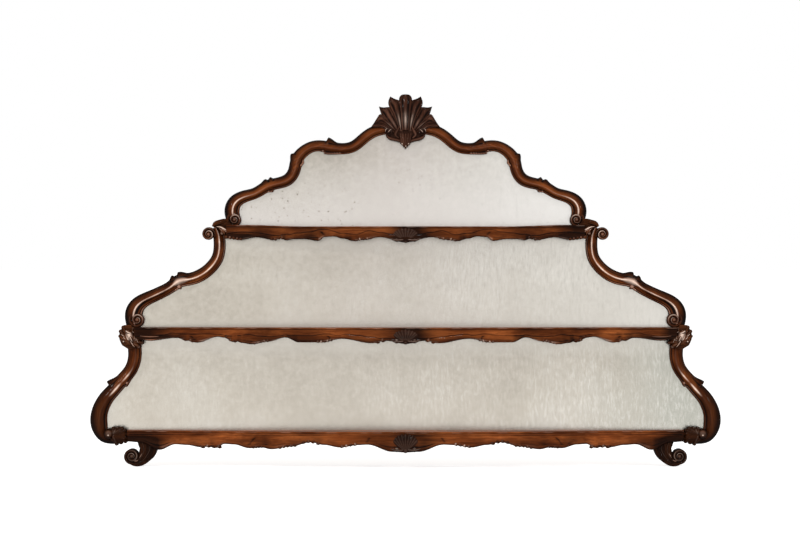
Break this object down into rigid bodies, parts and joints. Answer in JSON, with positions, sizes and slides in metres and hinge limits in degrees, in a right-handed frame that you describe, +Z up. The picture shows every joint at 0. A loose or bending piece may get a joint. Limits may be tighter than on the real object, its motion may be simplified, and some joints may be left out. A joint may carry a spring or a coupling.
{
  "type": "mirrored etagere",
  "caption": "Stepped rococo etagere with scroll-carved walnut rails, antiqued mirror backs, bowed scalloped shelves, a shell crest and scroll feet, for display on a wall or sideboard.",
  "frame": {"origin": "on the surface that the feet stand on, in the middle of the width and of the depth", "axes": "+X to the right along the shelves, +Y towards the flat back, +Z up; the front faces -Y"},
  "size_m": [1.5772, 0.134, 0.9281],
  "materials": {
    "walnut": "dark reddish walnut under a glossy lacquer",
    "carved_walnut": "carved dark walnut, glossy on the ridges and near black in the hollows",
    "antique_mirror": "hazy antiqued mirror with foxing and faint streaks",
    "backboard": "plain unfinished board",
    "dowel": "plain beech dowel",
    "steel": "plain steel screw"
  },
  "bodies": {
    "root": {"bottom_shelf_board": "walnut", "bottom_apron": "walnut", "bottom_back_rail": "walnut", "middle_shelf_board": "walnut", "middle_apron": "walnut", "middle_back_rail": "walnut", "top_shelf_board": "walnut", "top_apron": "walnut", "top_back_rail": "walnut", "bottom_rail_left": "carved_walnut", "bottom_rail_right": "carved_walnut", "middle_rail_left": "carved_walnut", "middle_rail_right": "carved_walnut", "top_rail_left": "carved_walnut", "top_rail_right": "carved_walnut", "bottom_corner_leaf_left": "carved_walnut", "bottom_corner_leaf_right": "carved_walnut", "middle_corner_leaf_left": "carved_walnut", "middle_corner_leaf_right": "carved_walnut", "top_corner_leaf_left": "carved_walnut", "top_corner_leaf_right": "carved_walnut", "bottom_apron_shell": "carved_walnut", "middle_apron_shell": "carved_walnut", "top_apron_shell": "carved_walnut", "crest_shell": "carved_walnut", "crest_leaf_left": "carved_walnut", "crest_leaf_right": "carved_walnut", "crest_drop": "carved_walnut", "scroll_foot_left": "carved_walnut", "scroll_foot_right": "carved_walnut", "bottom_mirror": "antique_mirror", "middle_mirror": "antique_mirror", "top_mirror": "antique_mirror", "bottom_backboard": "backboard", "middle_backboard": "backboard", "top_backboard": "backboard", "rail_dowels": "dowel", "foot_dowels": "dowel", "shelf_screws": "steel", "backboard_screws": "steel"}
  },
  "joints": []
}
